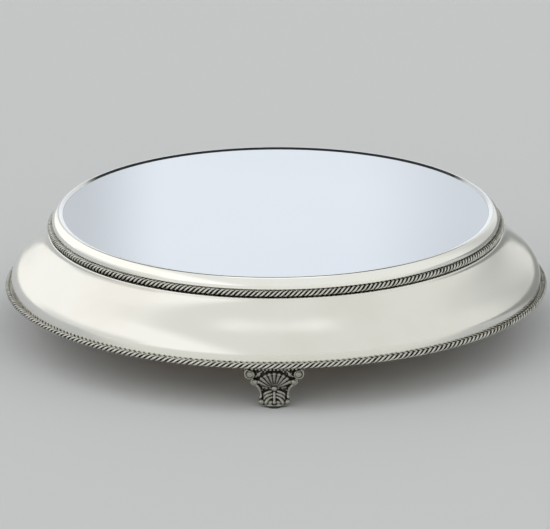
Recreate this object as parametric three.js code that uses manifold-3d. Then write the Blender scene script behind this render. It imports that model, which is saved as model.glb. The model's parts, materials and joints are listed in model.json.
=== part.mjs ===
// A footed cake turntable: a low, round, silver-plated stand with a mirror top that turns on a ball bearing.
// The skirt is spun from sheet, rope-twist borders run round its edges, and it stands on three cast feet.
// Units are millimetres, +Z is up, and the origin is the middle of the footprint, on the table.
import * as THREE from "three";
import { mergeVertices } from "three/addons/utils/BufferGeometryUtils.js";
import Module from "manifold-3d";

const wasm = await Module();
wasm.setup();

// ---------------------------------------------------------------- driving dimensions

const GAP = 0.3; // left between pieces that touch along a round or sloping face
const LARGE_RING_SIDES = 48;
const RACE_SIDES = 48;
const SHAFT_SIDES = 16;
const SCREW_SIDES = 6;

const SKIRT_RADIUS = 273.6; // outside of the skirt at its foot
const SKIRT_GAUGE = 1.5;
const LEDGE_RADIUS = 235.5; // where the skirt's flat top turns down
const LEDGE_FILLET = 1.5;
const SKIRT_FLANGE_RADIUS = 205; // inner edge of the flat top
const SKIRT_FLARE = { radius: 262.5, height: 77 }; // where the hollow neck turns into the rounded shoulder
const SKIRT_SHOULDER_HEIGHT = 55; // the wall is straight below this
// Handles of the two curves that meet at the flare, in order from the neck down.
const SKIRT_HANDLES = [[235.9, 97], [252.5, 86], [268, 72.1], [SKIRT_RADIUS, 64.5]];

const FOOT_COUNT = 3;
const FOOT_CIRCLE = 256; // radius of the circle that the feet stand on
const PAD_THICKNESS = 2;
const PAD_RADIUS = 9;
const FOOT_TOP = 45.3;

const BASE_RING_INNER = 236;
const BASE_RING_THICKNESS = 2;

const DECK_TOP = 106;
const DECK_THICKNESS = 12;
const DECK_RADIUS = 226;

const RACE_THICKNESS = 3;
const RACE_INNER = 95;
const RACE_OUTER = 125;
const BALL_COUNT = 12;
const BALL_RADIUS = 3.5;
const BALL_CIRCLE = 110;
const BALL_PLAY = 0.35; // between a ball and its groove or pocket
const RACE_SPACING = 3.1; // free height between the two races

const BOARD_THICKNESS = 8;
const PLATE_THICKNESS = 2.5;
const PLATE_BEVEL = 0.6;
const WELL_RADIUS = 220; // inside of the rim, where the board and the plate sit

const RIM_GAUGE = 1.2;
const RIM_RISE = 1.4; // of the crest above the plate
const CREST = { circle: 224.3, radius: 3 }; // the rim's rounded top edge
const CREST_INNER_SLOPE = 20.4; // degrees
const CREST_OUTER_SLOPE = 38; // degrees
const COLLAR_RADIUS = 231.2; // the widest part of the convex collar
const COLLAR_EDGE = { start: 118, end: 115.4 }; // heights of its straight lower edge
const COLLAR_HANDLES = { crest: [3.1, -2.4], edge: [0, 3] }; // of its curve, from the ends they belong to
const ROPE_WALL_RADIUS = 229; // the straight wall behind the upper rope
const ROPE_WALL = { start: 114.6, end: 108.7 };

const UPPER_ROPE = { section: 3.25, height: 111.7 };
const LOWER_ROPE = { section: 2.95, height: 48.3 };

const SPINDLE_RADIUS = 8;
const SPINDLE_END = 76;
const SPINDLE_CHAMFER = 1;
const SPINDLE_FLANGE = { radius: 28, thickness: 3.5 };
const BUSH_WALL = 3;
const BUSH_FLANGE = { radius: 15, thickness: 2 };
const WASHER = { radius: 15, thickness: 2 };
const NUT = { radius: 13.8, height: 10 };

// ---------------------------------------------------------------- heights that follow from them

const SKIRT_TOP = DECK_TOP + SKIRT_GAUGE;
const BASE_RING_TOP = FOOT_TOP + BASE_RING_THICKNESS;
const BALL_HEIGHT = DECK_TOP + RACE_THICKNESS + RACE_SPACING / 2;
const BOARD_BOTTOM = DECK_TOP + 2 * RACE_THICKNESS + RACE_SPACING;
const BOARD_TOP = BOARD_BOTTOM + BOARD_THICKNESS;
const PLATE_TOP = BOARD_TOP + PLATE_THICKNESS;
const CREST_TOP = PLATE_TOP + RIM_RISE;
const DECK_BOTTOM = DECK_TOP - DECK_THICKNESS;

// ---------------------------------------------------------------- materials

const metal = (color, roughness) =>
  new THREE.MeshStandardMaterial({ color, roughness, metalness: 1 });
const MIRROR = metal(0xe9eef6, 0.03);
const SILVER = metal(0xe6e5df, 0.16);
const CAST_SILVER = metal(0xb9b8b0, 0.3);
const STEEL = metal(0x9a9da1, 0.35);
const BRONZE = metal(0xb08a4e, 0.4);
const PLYWOOD = new THREE.MeshStandardMaterial({ color: 0xb98f5c, roughness: 0.7, metalness: 0 });
const FELT = new THREE.MeshStandardMaterial({ color: 0x24463a, roughness: 1, metalness: 0 });

// ---------------------------------------------------------------- outlines

const point = (radius, height) => new THREE.Vector2(radius, height);

// A clockwise or counter-clockwise arc of an outline; angles are in degrees from the outward direction.
function arc(centre, radius, from, to, steps) {
  const curve = new THREE.EllipseCurve(
    centre.x, centre.y, radius, radius,
    THREE.MathUtils.degToRad(from), THREE.MathUtils.degToRad(to), to < from,
  );
  return curve.getPoints(steps);
}

// A smooth stretch of an outline, without its first point, which the stretch before it already ends on.
function bend(start, leave, arrive, end, steps) {
  return new THREE.CubicBezierCurve(start, leave, arrive, end).getPoints(steps).slice(1);
}

// The outline moved sideways by the sheet's gauge, to the right of its direction of travel.
function offsetRight(outline, gauge) {
  return outline.map((p, i) => {
    const before = outline[Math.max(i - 1, 0)];
    const after = outline[Math.min(i + 1, outline.length - 1)];
    const into = p.clone().sub(before);
    const out = after.clone().sub(p);
    if (into.lengthSq() === 0) into.copy(out);
    if (out.lengthSq() === 0) out.copy(into);
    const rightOf = (v) => point(v.y, -v.x).normalize();
    const mitre = rightOf(into).add(rightOf(out)).normalize();
    return p.clone().addScaledVector(mitre, gauge / mitre.dot(rightOf(into)));
  });
}

// ---------------------------------------------------------------- turned and spun solids

// A solid of revolution about Z. The profile starts and ends on the axis, or is closed here.
function turned(profile, sides) {
  const points = profile.map((p) => p.clone());
  const onAxis = points[0].x === 0 && points.at(-1).x === 0;
  if (!onAxis) points.push(points[0].clone());
  if (THREE.ShapeUtils.area(points) < 0) points.reverse();
  return new THREE.LatheGeometry(points, sides).rotateX(Math.PI / 2);
}

// Sheet metal spun to an outline whose shown face is on the left of its direction of travel.
const spun = (outline, gauge) =>
  turned([...outline, ...offsetRight(outline, gauge).reverse()], LARGE_RING_SIDES);

// A flat ring or, with an inner radius of 0, a disc.
function disc(inner, outer, bottom, top, sides = LARGE_RING_SIDES) {
  return turned(
    [point(inner, bottom), point(outer, bottom), point(outer, top), point(inner, top)],
    sides,
  );
}

// ---------------------------------------------------------------- cutting and joining

function toSolid(geometry) {
  const bare = new THREE.BufferGeometry();
  const source = geometry.index ? geometry.toNonIndexed() : geometry;
  bare.setAttribute("position", source.getAttribute("position"));
  const merged = mergeVertices(bare, 1e-3);
  return new wasm.Manifold(
    new wasm.Mesh({
      numProp: 3,
      vertProperties: new Float32Array(merged.attributes.position.array),
      triVerts: new Uint32Array(merged.index.array),
    }),
  );
}

function toGeometry(solid) {
  const mesh = solid.getMesh();
  const geometry = new THREE.BufferGeometry();
  geometry.setAttribute("position", new THREE.BufferAttribute(mesh.vertProperties, 3));
  geometry.setIndex(new THREE.BufferAttribute(mesh.triVerts, 1));
  geometry.computeVertexNormals();
  return geometry;
}

const cut = (geometry, cutters) =>
  toGeometry(cutters.reduce((solid, c) => solid.subtract(toSolid(c)), toSolid(geometry)));

const joined = (geometries) =>
  toGeometry(geometries.map(toSolid).reduce((sum, solid) => sum.add(solid)));

// An upright round bar between two heights.
function bar(radius, bottom, top, sides = SCREW_SIDES) {
  return new THREE.CylinderGeometry(radius, radius, top - bottom, sides)
    .rotateX(Math.PI / 2)
    .translate(0, 0, (top + bottom) / 2);
}

// ---------------------------------------------------------------- screws

// A screw stands on its seat at height 0, head above and thread below. flip turns it to point upwards.
const RIM_SCREW = { head: 3.4, headHeight: 1.8, thread: 1.9, length: 6.5 };
const DECK_SCREW = { head: 3.8, headHeight: 1.8, thread: 2.1, length: 11 };
const SPINDLE_SCREW = { head: 3.8, headHeight: 1.9, thread: 2.1, length: 9.5 };
const FOOT_SCREW = { head: 4.6, headHeight: 2.6, thread: 2.5, length: 14 };
const RACE_SCREW = { head: 3.0, sink: 1.5, thread: 1.6, length: 7 };
const TIP = 1.2; // length of a screw's pointed end
const CROWN = { width: 0.72, height: 0.4 }; // where a pan head rounds over, as parts of its size

function panScrew({ head, headHeight, thread, length }) {
  return turned(
    [
      point(0, headHeight), point(CROWN.width * head, headHeight), point(head, CROWN.height * headHeight),
      point(head, 0), point(thread, 0), point(thread, TIP - length), point(0, -length),
    ],
    SCREW_SIDES,
  );
}

function sunkScrew({ head, sink, thread, length }) {
  return turned(
    [
      point(0, 0), point(head, 0), point(thread, -sink),
      point(thread, TIP - length), point(0, -length),
    ],
    SCREW_SIDES,
  );
}

// The hole that a screw needs, a gap wider all round; its head is let in if it is a sunk screw.
function screwHole({ head, sink, thread, length }) {
  const shaft = bar(thread + GAP, -length - GAP, length);
  if (!sink) return shaft;
  const seat = turned(
    [point(0, 1), point(head + GAP, 1), point(head + GAP, 0), point(thread + GAP, -sink), point(0, -sink)],
    SCREW_SIDES,
  );
  return joined([shaft, seat]);
}

// Evenly spaced angles round the axis, the first at `start` degrees.
const angles = (count, start) =>
  Array.from({ length: count }, (_, i) => THREE.MathUtils.degToRad(start + (360 / count) * i));

// A copy of a geometry set on a circle, at a height, at one angle; flip points it upwards.
function setOnCircle(geometry, radius, height, angle, flip = false) {
  const placed = geometry.clone();
  if (flip) placed.rotateX(Math.PI);
  return placed.translate(radius, 0, height).rotateZ(angle);
}

const RIM_SCREWS = { circle: 211, angles: angles(6, 0) };
const DECK_SCREWS = { circle: 215, angles: angles(6, 30) };
const SPINDLE_SCREWS = { circle: 20, angles: angles(3, 30) };
const RACE_SCREWS = { circle: 100.7, angles: angles(3, 30) };

const holesOn = ({ circle, angles: list }, kind, height, flip) =>
  list.map((angle) => setOnCircle(screwHole(kind), circle, height, angle, flip));

// ---------------------------------------------------------------- the turning top

// The sheet runs from the flange under the board, up the well, over the crest, out over the convex
// collar, and in again to the wall behind the rope.
function topRim() {
  const crest = point(CREST.circle, CREST_TOP - CREST.radius);
  const over = arc(crest, CREST.radius, 90 + CREST_INNER_SLOPE, 90 - CREST_OUTER_SLOPE, 3);
  const slope = Math.tan(THREE.MathUtils.degToRad(CREST_INNER_SLOPE));
  const slopeFoot = over[0].y - (over[0].x - WELL_RADIUS) * slope;
  const edge = point(COLLAR_RADIUS, COLLAR_EDGE.start);
  const leaveCrest = over.at(-1).clone().add(point(...COLLAR_HANDLES.crest));
  const meetEdge = edge.clone().add(point(...COLLAR_HANDLES.edge));
  const outline = [
    point(SKIRT_FLANGE_RADIUS, BOARD_BOTTOM),
    point(WELL_RADIUS, BOARD_BOTTOM),
    point(WELL_RADIUS, slopeFoot),
    ...over,
    ...bend(over.at(-1), leaveCrest, meetEdge, edge, 3),
    point(COLLAR_RADIUS, COLLAR_EDGE.end),
    point(ROPE_WALL_RADIUS, ROPE_WALL.start),
    point(ROPE_WALL_RADIUS, ROPE_WALL.end),
  ];
  const holes = holesOn(RIM_SCREWS, RIM_SCREW, BOARD_BOTTOM - RIM_GAUGE, true);
  return cut(spun(outline, RIM_GAUGE), holes);
}

function mirrorPlate() {
  const radius = WELL_RADIUS - GAP;
  return turned(
    [
      point(0, BOARD_TOP), point(radius, BOARD_TOP), point(radius, PLATE_TOP - PLATE_BEVEL),
      point(radius - PLATE_BEVEL, PLATE_TOP), point(0, PLATE_TOP),
    ],
    LARGE_RING_SIDES,
  );
}

function turntableBoard() {
  return cut(disc(0, WELL_RADIUS - GAP, BOARD_BOTTOM, BOARD_TOP), [
    ...holesOn(RIM_SCREWS, RIM_SCREW, BOARD_BOTTOM - RIM_GAUGE, true),
    ...holesOn(SPINDLE_SCREWS, SPINDLE_SCREW, BOARD_BOTTOM - SPINDLE_FLANGE.thickness, true),
    ...holesOn(RACE_SCREWS, RACE_SCREW, BOARD_BOTTOM - RACE_THICKNESS, true),
  ]);
}

// A border of eight-sided section, soldered outside a straight wall.
function ropeBorder(wallRadius, { section, height }) {
  const centre = point(wallRadius + GAP + section, height);
  const ring = arc(centre, section, 0, 360, 8).slice(0, 8);
  return turned(ring, LARGE_RING_SIDES);
}

function spindle() {
  const flangeBottom = BOARD_BOTTOM - SPINDLE_FLANGE.thickness;
  const body = turned(
    [
      point(0, SPINDLE_END), point(SPINDLE_RADIUS - SPINDLE_CHAMFER, SPINDLE_END),
      point(SPINDLE_RADIUS, SPINDLE_END + SPINDLE_CHAMFER), point(SPINDLE_RADIUS, flangeBottom),
      point(SPINDLE_FLANGE.radius, flangeBottom), point(SPINDLE_FLANGE.radius, BOARD_BOTTOM),
      point(0, BOARD_BOTTOM),
    ],
    SHAFT_SIDES,
  );
  return cut(body, holesOn(SPINDLE_SCREWS, SPINDLE_SCREW, flangeBottom, true));
}

const BUSH_BOTTOM = DECK_BOTTOM - BUSH_FLANGE.thickness;
const WASHER_TOP = BUSH_BOTTOM - GAP;
const NUT_TOP = WASHER_TOP - WASHER.thickness;

const spindleWasher = () =>
  disc(SPINDLE_RADIUS + GAP, WASHER.radius, NUT_TOP, WASHER_TOP, SHAFT_SIDES);

function spindleNut() {
  const block = new THREE.CylinderGeometry(NUT.radius, NUT.radius, NUT.height, 6)
    .rotateX(Math.PI / 2)
    .translate(0, 0, NUT_TOP - NUT.height / 2);
  return cut(block, [bar(SPINDLE_RADIUS + GAP, NUT_TOP - NUT.height - 1, NUT_TOP + 1, SHAFT_SIDES)]);
}

// ---------------------------------------------------------------- the bearing

// Half the bearing, grooved for the balls: the lower race faces up and the upper race faces down.
function race(seat, facing) {
  const face = seat + facing * RACE_THICKNESS;
  const groove = BALL_RADIUS + BALL_PLAY;
  const rise = (facing * (BALL_HEIGHT - face)) / groove;
  const dip = THREE.MathUtils.radToDeg(Math.asin(rise));
  const groovePoints = arc(point(BALL_CIRCLE, BALL_HEIGHT), groove, 180 + dip, 360 - dip, 3).map(
    (p) => point(p.x, facing > 0 ? p.y : 2 * BALL_HEIGHT - p.y),
  );
  const ring = turned(
    [
      point(RACE_INNER, seat), point(RACE_INNER, face), ...groovePoints,
      point(RACE_OUTER, face), point(RACE_OUTER, seat),
    ],
    RACE_SIDES,
  );
  return cut(ring, holesOn(RACE_SCREWS, RACE_SCREW, face, facing < 0));
}

const BALL_ANGLES = angles(BALL_COUNT, 0);
const CAGE = { width: 13, thickness: 1.6 };

function ballCage() {
  const bottom = BALL_HEIGHT - CAGE.thickness / 2;
  const top = BALL_HEIGHT + CAGE.thickness / 2;
  const ring = disc(BALL_CIRCLE - CAGE.width / 2, BALL_CIRCLE + CAGE.width / 2, bottom, top, RACE_SIDES);
  const pocket = bar(BALL_RADIUS + BALL_PLAY, -CAGE.thickness, CAGE.thickness, 10);
  return cut(ring, BALL_ANGLES.map((angle) => setOnCircle(pocket, BALL_CIRCLE, BALL_HEIGHT, angle)));
}

// ---------------------------------------------------------------- the base

// The skirt's shown face: a flat ledge, a hollow neck under the rope, a flare and a rounded shoulder.
function baseSkirt() {
  const ledgeEdge = point(LEDGE_RADIUS - LEDGE_FILLET, SKIRT_TOP - LEDGE_FILLET);
  const neck = point(LEDGE_RADIUS, ledgeEdge.y);
  const flare = point(SKIRT_FLARE.radius, SKIRT_FLARE.height);
  const shoulder = point(SKIRT_RADIUS, SKIRT_SHOULDER_HEIGHT);
  const handles = SKIRT_HANDLES.map(([radius, height]) => point(radius, height));
  const outline = [
    point(SKIRT_FLANGE_RADIUS, SKIRT_TOP),
    ...arc(ledgeEdge, LEDGE_FILLET, 90, 0, 2),
    ...bend(neck, handles[0], handles[1], flare, 4),
    ...bend(flare, handles[2], handles[3], shoulder, 4),
    point(SKIRT_RADIUS, FOOT_TOP),
  ];
  return cut(spun(outline, SKIRT_GAUGE), holesOn(DECK_SCREWS, DECK_SCREW, SKIRT_TOP, false));
}

const BUSH_OUTER = SPINDLE_RADIUS + GAP + BUSH_WALL;

function deckBoard() {
  return cut(disc(BUSH_OUTER + GAP, DECK_RADIUS, DECK_BOTTOM, DECK_TOP), [
    ...holesOn(DECK_SCREWS, DECK_SCREW, SKIRT_TOP, false),
    ...holesOn(RACE_SCREWS, RACE_SCREW, DECK_TOP + RACE_THICKNESS, false),
  ]);
}

function pivotBush() {
  const bore = SPINDLE_RADIUS + GAP;
  return turned(
    [
      point(bore, BUSH_BOTTOM), point(BUSH_FLANGE.radius, BUSH_BOTTOM),
      point(BUSH_FLANGE.radius, DECK_BOTTOM), point(BUSH_OUTER, DECK_BOTTOM),
      point(BUSH_OUTER, DECK_TOP), point(bore, DECK_TOP),
    ],
    SHAFT_SIDES,
  );
}

const FOOT_SCREW_OFFSET = 14; // each side of the foot's middle
const FOOT_ANGLES = angles(FOOT_COUNT, -90);

// Where a foot's two screws stand, in the foot's own frame, which has X outwards and Z up.
const footScrewSpots = [-FOOT_SCREW_OFFSET, FOOT_SCREW_OFFSET];

function footScrewHole(side) {
  return screwHole(FOOT_SCREW).translate(FOOT_CIRCLE, side, BASE_RING_TOP);
}

function baseRing() {
  const ring = disc(BASE_RING_INNER, SKIRT_RADIUS - SKIRT_GAUGE - GAP, FOOT_TOP, BASE_RING_TOP);
  const holes = FOOT_ANGLES.flatMap((angle) =>
    footScrewSpots.map((side) => footScrewHole(side).rotateZ(angle)),
  );
  return cut(ring, holes);
}

// ---------------------------------------------------------------- the cast feet

// Half width, half depth and outward lean of the foot, from its toe up to its top plate.
const FOOT_STATIONS = [
  [15.5, 12, 4], [14.5, 8, 1], [17.5, 7.5, -1], [24, 8.5, 0], [25.5, 10, 2.5], [28, 11, 3], [31, 11, 0],
];
const FOOT_STATION_SIDES = 12;
const FOOT_STATION_RINGS = 9;
const VOLUTE = { radius: 6, length: 15, side: 25.5, height: 35, lean: 1.5 };

function castFoot() {
  const height = FOOT_TOP - PAD_THICKNESS;
  const curve = new THREE.CatmullRomCurve3(
    FOOT_STATIONS.map(([width, depth, lean]) => new THREE.Vector3(width, depth, lean)),
  );
  const body = new THREE.CylinderGeometry(1, 1, height, FOOT_STATION_SIDES, FOOT_STATION_RINGS)
    .rotateX(Math.PI / 2)
    .translate(0, 0, height / 2);
  const positions = body.getAttribute("position");
  for (let i = 0; i < positions.count; i += 1) {
    const z = positions.getZ(i);
    const { x: width, y: depth, z: lean } = curve.getPoint(z / height);
    const x = FOOT_CIRCLE + lean + positions.getX(i) * depth;
    positions.setXYZ(i, x, positions.getY(i) * width, z + PAD_THICKNESS);
  }
  const volutes = [-VOLUTE.side, VOLUTE.side].map((side) =>
    new THREE.CylinderGeometry(VOLUTE.radius, VOLUTE.radius, VOLUTE.length, 10)
      .rotateZ(Math.PI / 2)
      .translate(FOOT_CIRCLE + VOLUTE.lean, side, VOLUTE.height),
  );
  return cut(joined([body, ...volutes]), footScrewSpots.map(footScrewHole));
}

const PAD_SPOT = FOOT_CIRCLE + FOOT_STATIONS[0][2];

const footPad = () =>
  bar(PAD_RADIUS, 0, PAD_THICKNESS, 12).translate(PAD_SPOT, 0, 0);

// ---------------------------------------------------------------- assembly

const turntable = new THREE.Group();
const cage = new THREE.Group();
const base = new THREE.Group();

function add(group, name, geometry, material, angle = 0) {
  const mesh = new THREE.Mesh(geometry, material);
  mesh.name = name;
  mesh.rotation.z = angle;
  group.add(mesh);
}

// One numbered screw at each angle of its circle.
function addScrews(group, name, geometry, { circle, angles: list }, height, flip) {
  list.forEach((angle, i) =>
    add(group, `${name}_${i + 1}`, setOnCircle(geometry, circle, height, 0, flip), STEEL, angle),
  );
}

add(turntable, "mirror_plate", mirrorPlate(), MIRROR);
add(turntable, "top_rim", topRim(), SILVER);
add(turntable, "upper_rope_border", ropeBorder(ROPE_WALL_RADIUS, UPPER_ROPE), SILVER);
add(turntable, "turntable_board", turntableBoard(), PLYWOOD);
add(turntable, "upper_race", race(BOARD_BOTTOM, -1), STEEL);
add(turntable, "spindle", spindle(), STEEL);
add(turntable, "spindle_washer", spindleWasher(), STEEL);
add(turntable, "spindle_nut", spindleNut(), STEEL);
addScrews(turntable, "rim_screw", panScrew(RIM_SCREW), RIM_SCREWS, BOARD_BOTTOM - RIM_GAUGE, true);
addScrews(
  turntable, "spindle_screw", panScrew(SPINDLE_SCREW), SPINDLE_SCREWS,
  BOARD_BOTTOM - SPINDLE_FLANGE.thickness, true,
);
addScrews(
  turntable, "upper_race_screw", sunkScrew(RACE_SCREW), RACE_SCREWS,
  BOARD_BOTTOM - RACE_THICKNESS, true,
);

add(cage, "ball_cage", ballCage(), BRONZE);
BALL_ANGLES.forEach((angle, i) => {
  const ball = new THREE.SphereGeometry(BALL_RADIUS, 8, 6).translate(BALL_CIRCLE, 0, BALL_HEIGHT);
  add(cage, `ball_${i + 1}`, ball, STEEL, angle);
});

add(base, "base_skirt", baseSkirt(), SILVER);
add(base, "lower_rope_border", ropeBorder(SKIRT_RADIUS, LOWER_ROPE), SILVER);
add(base, "base_ring", baseRing(), SILVER);
add(base, "deck_board", deckBoard(), PLYWOOD);
add(base, "lower_race", race(DECK_TOP, 1), STEEL);
add(base, "pivot_bush", pivotBush(), BRONZE);
addScrews(base, "deck_screw", panScrew(DECK_SCREW), DECK_SCREWS, SKIRT_TOP, false);
addScrews(
  base, "lower_race_screw", sunkScrew(RACE_SCREW), RACE_SCREWS, DECK_TOP + RACE_THICKNESS, false,
);
FOOT_ANGLES.forEach((angle, i) => {
  add(base, `foot_${i + 1}`, castFoot(), CAST_SILVER, angle);
  add(base, `foot_pad_${i + 1}`, footPad(), FELT, angle);
  footScrewSpots.forEach((side, j) => {
    const screw = panScrew(FOOT_SCREW).translate(FOOT_CIRCLE, side, BASE_RING_TOP);
    add(base, `foot_screw_${2 * i + j + 1}`, screw, STEEL, angle);
  });
});

const cakeTurntable = new THREE.Group();
cakeTurntable.add(base, cage, turntable);

export default cakeTurntable;
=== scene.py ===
"""The looks of a footed, silver-plated cake turntable with a mirror top, built round its CAD frame.

Blender objects are in metres, +Z up. The outlines below are written in millimetres, as (radius, height)
about the spindle, and positions come from the frame's boxes.
"""

import json
import math

import bmesh
import bpy
import numpy as np
from mathutils import Matrix, Vector


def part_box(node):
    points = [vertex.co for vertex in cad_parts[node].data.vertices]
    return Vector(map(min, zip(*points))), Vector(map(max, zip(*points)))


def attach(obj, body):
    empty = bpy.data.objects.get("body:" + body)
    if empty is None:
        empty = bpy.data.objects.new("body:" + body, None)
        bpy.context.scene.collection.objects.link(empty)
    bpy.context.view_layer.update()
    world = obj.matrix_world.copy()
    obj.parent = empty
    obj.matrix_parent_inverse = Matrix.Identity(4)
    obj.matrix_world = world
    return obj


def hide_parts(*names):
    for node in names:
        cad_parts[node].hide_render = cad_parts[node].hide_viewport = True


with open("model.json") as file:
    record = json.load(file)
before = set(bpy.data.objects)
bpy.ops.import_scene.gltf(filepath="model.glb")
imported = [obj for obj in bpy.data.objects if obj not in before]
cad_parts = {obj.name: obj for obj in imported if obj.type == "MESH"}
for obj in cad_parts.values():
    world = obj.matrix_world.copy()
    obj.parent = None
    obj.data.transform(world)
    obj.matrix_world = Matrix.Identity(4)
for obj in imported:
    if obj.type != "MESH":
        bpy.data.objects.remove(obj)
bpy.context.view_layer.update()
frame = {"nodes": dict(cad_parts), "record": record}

MM = 0.001
RING_SEGMENTS = 288
SHAFT_SEGMENTS = 96
SCREW_SEGMENTS = 48
FLAT_MARGIN = 0.2  # millimetres between a flat's rounded edge and the point that keeps its shading flat


# ---------------------------------------------------------------- measures from the frame

def low(node):
    """The lowest corner of a CAD node, in millimetres."""
    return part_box(node)[0] / MM


def high(node):
    """The highest corner of a CAD node, in millimetres."""
    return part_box(node)[1] / MM


def middle(node):
    """The middle of a CAD node's box, in millimetres."""
    return (low(node) + high(node)) / 2


PLATE_TOP = high("mirror_plate").z
BOARD_BOTTOM = low("turntable_board").z
RACE_FACE_GAP = low("upper_race").z - high("lower_race").z
SKIRT_TOP = high("base_skirt").z
SKIRT_FOOT = low("base_skirt").z
SKIRT_RADIUS = high("base_skirt").x
FOOT_COUNT = 3
FOOT_CIRCLE = -middle("foot_screw_1").y
FOOT_TOP = high("foot_1").z
FOOT_BOTTOM = low("foot_1").z


# ---------------------------------------------------------------- outlines

def arc(centre, radius, start, end, steps):
    """Points on a round stretch of an outline; angles are in degrees from the outward direction."""
    sweep = np.radians(np.linspace(start, end, steps + 1))
    return [(centre[0] + radius * math.cos(a), centre[1] + radius * math.sin(a)) for a in sweep]


def bend(start, leave, arrive, end, steps):
    """Points on a cubic Bezier, without its first, which the stretch before it ends on."""
    corners = np.array([start, leave, arrive, end])
    points = []
    for t in np.linspace(0, 1, steps + 1)[1:]:
        weights = np.array([(1 - t) ** 3, 3 * t * (1 - t) ** 2, 3 * t * t * (1 - t), t ** 3])
        points.append(tuple(weights @ corners))
    return points


def offset_right(outline, gauge):
    """The outline moved sideways by a sheet's gauge, to the right of its direction of travel."""
    points = np.array(outline)
    steps = np.diff(points, axis=0)
    into = np.vstack([steps[:1], steps])
    out = np.vstack([steps, steps[-1:]])

    def right_of(step):
        turned = np.column_stack([step[:, 1], -step[:, 0]])
        return turned / np.linalg.norm(turned, axis=1, keepdims=True)

    mitre = right_of(into) + right_of(out)
    mitre /= np.linalg.norm(mitre, axis=1, keepdims=True)
    reach = gauge / np.sum(mitre * right_of(into), axis=1, keepdims=True)
    return [tuple(p) for p in points + mitre * reach]


def sheet_outline(shown_face, gauge):
    """The closed outline of sheet metal whose shown face is on the left of its direction of travel."""
    return list(shown_face) + offset_right(shown_face, gauge)[::-1]


# ---------------------------------------------------------------- meshes

def new_object(name, vertices, faces):
    """A mesh object from millimetre vertices, its normals facing out."""
    mesh = bpy.data.meshes.new(name)
    mesh.from_pydata([tuple(v) for v in np.asarray(vertices) * MM], [], faces)
    tidy = bmesh.new()
    tidy.from_mesh(mesh)
    bmesh.ops.remove_doubles(tidy, verts=tidy.verts, dist=1e-7)
    bmesh.ops.recalc_face_normals(tidy, faces=tidy.faces)
    tidy.to_mesh(mesh)
    tidy.free()
    piece = bpy.data.objects.new(name, mesh)
    bpy.context.scene.collection.objects.link(piece)
    return piece


def smooth(piece, sharp_above=35):
    """Smooth shading, with edges sharper than an angle in degrees kept crisp."""
    piece.data.shade_smooth()
    piece.data.set_sharp_from_angle(angle=math.radians(sharp_above))
    return piece


def grid_faces(rows, columns):
    """Quads of a grid that closes both ways, as a ring's does."""
    faces = []
    for i in range(rows):
        for j in range(columns):
            k, m = (i + 1) % rows, (j + 1) % columns
            faces.append((i * columns + j, k * columns + j, k * columns + m, i * columns + m))
    return faces


def revolve(name, outline, segments=RING_SEGMENTS):
    """A closed outline turned about Z: a list of points, or a function that gives one for each angle."""
    outline_at = outline if callable(outline) else lambda angle: outline
    vertices = []
    for angle in np.linspace(0, 2 * math.pi, segments, endpoint=False):
        points = outline_at(angle)
        vertices += [(r * math.cos(angle), r * math.sin(angle), z) for r, z in points]
    return smooth(new_object(name, vertices, grid_faces(segments, len(vertices) // segments)))


def drop_flat_faces(piece):
    """Removes the faces that an outline running along the axis leaves there with no area."""
    tidy = bmesh.new()
    tidy.from_mesh(piece.data)
    bmesh.ops.dissolve_degenerate(tidy, dist=1e-7, edges=tidy.edges)
    tidy.to_mesh(piece.data)
    tidy.free()
    return piece


def copy_of(mesh, name, spot=(0, 0, 0), angle=0.0, upside_down=False):
    """An object that shares a mesh, at a millimetre spot, turned about Z in degrees."""
    piece = bpy.data.objects.new(name, mesh)
    piece.location = Vector(spot) * MM
    piece.rotation_euler = (math.pi if upside_down else 0, 0, math.radians(angle))
    bpy.context.scene.collection.objects.link(piece)
    return piece


def mesh_of(piece):
    """A piece's mesh without the piece, for copies to share."""
    mesh = piece.data
    bpy.data.objects.remove(piece)
    return mesh


def mark_hollows(mesh, values):
    """Stores for each vertex how deep in a hollow it lies, 0 to 1, for a material to read."""
    attribute = mesh.attributes.new("hollow", "FLOAT", "POINT")
    attribute.data.foreach_set("value", np.clip(values, 0, 1).astype(np.float32))


# ---------------------------------------------------------------- node trees

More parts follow.
